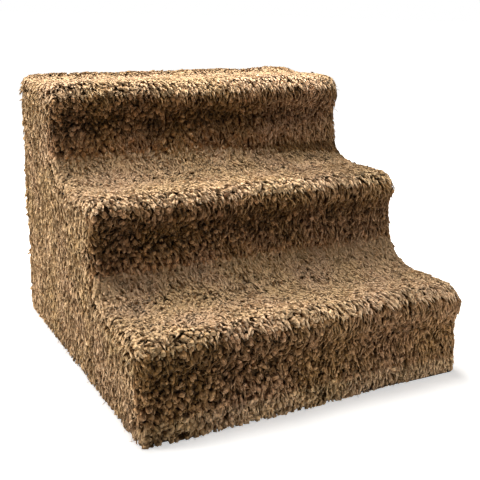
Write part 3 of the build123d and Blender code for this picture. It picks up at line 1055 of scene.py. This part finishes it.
def hookMaterial():
    # A field of small stiff hooks on a woven ground
    material, shader, place = newMaterial("hook_tape", Roughness=0.55, Specular_IOR_Level=0.45)
    ins = {"Vector": place * (1.0, 0.0, 1.0), "Scale": patches["hooks"], "Randomness": 0.35}
    tip = remap(result(place.tree, "ShaderNodeTexVoronoi", ins, "Distance"), (0.15, 0.6), (1.0, 0.0))
    colour = mixColour(tip, tinted(patches["colour"], 0.5), tinted(patches["colour"], 4))
    dress(shader, colour, tip, 0.8, 0.0005)
    return material


def makeHemTape():
    bm = bmesh.new()
    depth = cover["pile"] - hem["thickness"]
    bmesh.ops.create_grid(bm, x_segments=1, y_segments=1, size=1)
    bmesh.ops.scale(bm, vec=(halfWidth - depth, back - depth, 1), verts=bm.verts)
    rounded(bm, bm.verts[:], cover["edgeRadius"] - depth, segments=5, affect="VERTICES")
    bmesh.ops.subdivide_edges(bm, edges=[e for e in bm.edges if e.calc_length() > 0.1], cuts=48)
    outer = bm.edges[:]
    ring = bmesh.ops.inset_region(
        bm, faces=bm.faces[:], thickness=hem["width"], use_boundary=True, use_even_offset=True
    )["faces"]
    bmesh.ops.delete(bm, geom=[f for f in bm.faces if f not in ring], context="FACES_ONLY")
    rim = {v for e in outer for v in e.verts}
    for vert in bm.verts:
        vert.co.z = hem["level"][0 if vert in rim else 1]
    legs = newVerts(bmesh.ops.extrude_edge_only(bm, edges=outer))
    bmesh.ops.translate(bm, vec=(0, 0, hem["leg"]), verts=legs)
    for vert in bm.verts:
        vert.co = settle(vert.co.copy())
        atFront = rise(vert.co.y, front + 0.02, front)
        vert.co.y -= hem["peep"] * atFront * rise(vert.co.x, *hem["peepsFrom"])
    bmesh.ops.recalc_face_normals(bm, faces=bm.faces)
    piece = newPiece("hem_tape", bm, tapeCloth)
    thicken(piece, hem["thickness"], 0.0, even=False)
    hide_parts("hem_binding")


def makeStrap(endName, sideName, x):
    # From its stitched tab at the foot of the cover under the board and up the board's inner face
    wall, face = straps["walls"][endName]
    inward = 1 if face > wall else -1
    upright = face + inward * (patches["size"][1] + straps["thickness"] / 2)
    low = straps["floor"]
    path = [(wall, low + straps["tab"]), (wall, low), (upright, low), (upright, straps["reach"])]
    bm = bmesh.new()
    corners = [bm.verts.new((x - straps["width"] / 2, y, z)) for y, z in path]
    edges = [bm.edges.new(pair) for pair in zip(corners, corners[1:])]
    swept = newVerts(bmesh.ops.extrude_edge_only(bm, edges=edges))
    bmesh.ops.translate(bm, vec=(straps["width"], 0, 0), verts=swept)
    rounded(bm, [e for e in bm.edges if len(e.link_faces) == 2], straps["bend"], segments=4)
    crossing = [e for e in bm.edges if abs(e.verts[0].co.x - e.verts[1].co.x) > 0.01]
    bmesh.ops.subdivide_edges(bm, edges=crossing, cuts=4)
    for vert in bm.verts:  # its sewn end goes with the cover
        free = rise(abs(vert.co.y), abs(face) + straps["fixed"], abs(wall))
        vert.co = vert.co.lerp(settle(vert.co.copy()), free)
    bmesh.ops.recalc_face_normals(bm, faces=bm.faces)
    piece = newPiece(f"strap_{endName}_{sideName}", bm, webbing)
    thicken(piece, straps["thickness"], 0.0)
    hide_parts(f"hold_down_strap_{endName}_{sideName}")


def makePatch(endName, sideName, x):
    face = straps["walls"][endName][1]
    wide, thick, tall = patches["size"]
    y = face + math.copysign(thick / 2, -face)
    bm = bmesh.new()
    bmesh.ops.create_cube(bm, size=1)
    bmesh.ops.scale(bm, vec=patches["size"], verts=bm.verts)
    rounded(bm, bm.edges[:], patches["edge"], segments=2)
    bmesh.ops.translate(bm, vec=(x, y, patches["base"] + tall / 2), verts=bm.verts)
    piece = newPiece(f"hook_tape_{endName}_{sideName}", bm, hookTape)
    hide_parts(f"hook_patch_{endName}_{sideName}")


tapeCloth = wovenMaterial("hem_tape_weave", hem)
webbing = wovenMaterial("strap_webbing", straps)
hookTape = hookMaterial()
makeHemTape()
for endName in straps["walls"]:
    for sideName, side in (("left", -1), ("right", 1)):
        makeStrap(endName, sideName, side * straps["offset"])
        makePatch(endName, sideName, side * straps["offset"])
print("hem tape, straps and hook tape sewn on")

# Finishes of the carcass

carcass = {
    "board": {
        "light": (0.56, 0.42, 0.275),
        "dark": (0.4, 0.285, 0.175),
        "fibre": 260.0,
        "felting": 0.006,
    },
    "softwood": {
        "early": (0.72, 0.54, 0.33),
        "late": (0.48, 0.3, 0.145),
        "rings": 42.0,
        "stretch": 0.07,
    },
    "rubber": {"colour": (0.02, 0.02, 0.021), "dust": (0.07, 0.068, 0.064)},
    "steel": {"colour": (0.66, 0.64, 0.56), "rough": (0.24, 0.42)},
}


def boardMaterial():
    # Raw fibreboard: felted fibres with darker specks
    look = carcass["board"]
    material, shader, place = newMaterial("raw_fibreboard", Roughness=0.85, Specular_IOR_Level=0.3)
    bent = place + noiseAt(place, scale=90.0, detail=2.0, output=1) * look["felting"]
    fibre = noiseAt(bent, scale=look["fibre"], detail=6.0, Roughness=0.7)
    specks = result(place.tree, "ShaderNodeTexVoronoi", {"Vector": bent, "Scale": 210.0}, "Distance")
    speck = remap(specks, (0.05, 0.16), (0.6, 0.0))
    mixed = fibre * 0.75 + noiseAt(place, scale=14.0, detail=2.0) * 0.25
    base = ramp(mixed, [(0.32, look["dark"]), (0.62, look["light"])])
    dress(shader, mixColour(speck, base, tinted(look["dark"], 0.6)), fibre, 0.35, 0.0003)
    return material


def softwoodMaterial(name, lengthwise):
    # Planed softwood: growth rings drawn out along the stick, with fine pores
    look = carcass["softwood"]
    material, shader, place = newMaterial(name, Roughness=0.62, Specular_IOR_Level=0.4)

    def drawnOut(stretch):
        return place * tuple(stretch if axis == lengthwise else 1.0 for axis in range(3))

    ins = {"Vector": drawnOut(look["stretch"]), "Scale": look["rings"], "Distortion": 5.0}
    rings = result(
        place.tree,
        "ShaderNodeTexWave",
        {**ins, "Detail": 2.0, "Detail Scale": 1.5},
        1,
        wave_type="RINGS",
        rings_direction="YXZ"[lengthwise],
        wave_profile="SAW",
    )
    pores = noiseAt(drawnOut(look["stretch"] / 3), scale=1400.0, detail=3.0)
    colour = ramp(rings * 0.7 + pores * 0.4, [(0.25, look["early"]), (0.95, look["late"])])
    dress(shader, colour, pores, 0.25, 0.0002, remap(pores, (0.3, 0.7), (0.52, 0.72)))
    return material


def rubberMaterial():
    look = carcass["rubber"]
    material, shader, place = newMaterial("foot_rubber", Roughness=0.8, Specular_IOR_Level=0.35)
    grain = noiseAt(place, scale=1100.0, detail=4.0)
    dust = remap(noiseAt(place, scale=120.0, detail=3.0), (0.5, 0.75), (0.0, 0.6))
    colour = mixColour(dust, look["colour"], look["dust"])
    dress(shader, colour, grain, 0.4, 0.0002, remap(grain, (0.3, 0.7), (0.68, 0.9)))
    return material


def steelMaterial():
    # Zinc plating: a faint spangle, duller in patches
    look = carcass["steel"]
    material, shader, place = newMaterial("zinc_plated_steel", Metallic=1.0, Roughness=0.3)
    spangle = result(place.tree, "ShaderNodeTexVoronoi", {"Vector": place, "Scale": 900.0}, "Color")
    patch = noiseAt(place, scale=300.0, detail=3.0)
    tone = ramp(axes(spangle)[0], [(0.0, tinted(look["colour"], 0.86)), (1.0, look["colour"])])
    dress(shader, tone, patch, 0.15, 0.0001, remap(patch, (0.3, 0.7), look["rough"]))
    return material


finishes = {
    "screws": steelMaterial(),
    "board": boardMaterial(),
    "cleat": softwoodMaterial("cleat_softwood", 1),
    "corner_block": softwoodMaterial("block_softwood", 2),
    "foot": rubberMaterial(),
}
finishes["panel"] = finishes["board"]
for name, node in nodes.items():
    if node.hide_render:
        continue
    kind = next(k for k in finishes if k in name)
    for slotted in node.material_slots:
        slotted.material = finishes[kind]
print("carcass finished")

# Floor, background and light

studio = {
    # where each lamp stands, its power in watts and its width
    "lamps": {
        "top": ((0.0, 0.1, 1.1), 11.0, 0.6),
        "rear": ((0.0, 0.72, 1.0), 18.0, 0.7),
        "left": ((-1.7, 0.62, 0.48), 31.5, 0.8),
        "card": ((0.30, -0.60, 0.03), 1.7, 0.3),
    },
    "aim": (0.0, 0.0, 0.15),
    "fill": 0.01,
    "floor": (0.93, 0.91, 0.87),
    "floorRadius": 12.0,
    "whitening": ((0.35, 1.2), (0.55, 1.0)),  # from the middle outwards the floor seen turns white
}


def seenRays(tree):
    # 1 for what the camera sees, straight or by way of something shiny or clear
    ray = addNode(tree, "ShaderNodeLightPath")
    kinds = ("Camera", "Glossy", "Transmission")
    seen, glossy, through = (Value(ray, f"Is {kind} Ray") for kind in kinds)
    return seen.calc("MAXIMUM", glossy).calc("MAXIMUM", through)


def makeFloor():
    bm = bmesh.new()
    bmesh.ops.create_circle(bm, cap_ends=True, segments=64, radius=studio["floorRadius"])
    floor = linked("floor", meshOf("floor", bm))
    material = bpy.data.materials.new("pale_floor")
    material.use_nodes = True
    tree = material.node_tree
    tree.nodes.clear()
    away = result(tree, "ShaderNodeTexCoord", output="Object").calc("LENGTH", output="Value")
    glow = seenRays(tree) * remap(away, *studio["whitening"])
    plain = result(tree, "ShaderNodeBsdfDiffuse", {"Color": (*studio["floor"], 1)})
    lit = result(tree, "ShaderNodeEmission", {"Color": (1, 1, 1, 1), "Strength": glow})
    both = result(tree, "ShaderNodeAddShader", {0: plain, 1: lit})
    addNode(tree, "ShaderNodeOutputMaterial", {0: both})
    floor.data.materials.append(material)


def lightStudio():
    world = bpy.data.worlds.new("studio")
    scene.world = world
    world.use_nodes = True
    tree = world.node_tree
    tree.nodes.clear()
    dim, white = (
        result(tree, "ShaderNodeBackground", {"Color": (1, 1, 1, 1), "Strength": light})
        for light in (studio["fill"], 1.0)
    )
    mix = result(tree, "ShaderNodeMixShader", {0: seenRays(tree), 1: dim, 2: white})
    addNode(tree, "ShaderNodeOutputWorld", {0: mix})
    for name, (place, power, size) in studio["lamps"].items():
        lamp = bpy.data.lights.new(name, "AREA")
        lamp.shape = "DISK"
        lamp.size = size
        lamp.energy = power
        stand = linked(name, lamp)
        stand.location = place
        aim = Vector(studio["aim"]) - stand.location
        stand.rotation_euler = aim.to_track_quat("-Z", "Y").to_euler()


makeFloor()
lightStudio()
scene.view_settings.view_transform = "Standard"
print("studio lit")
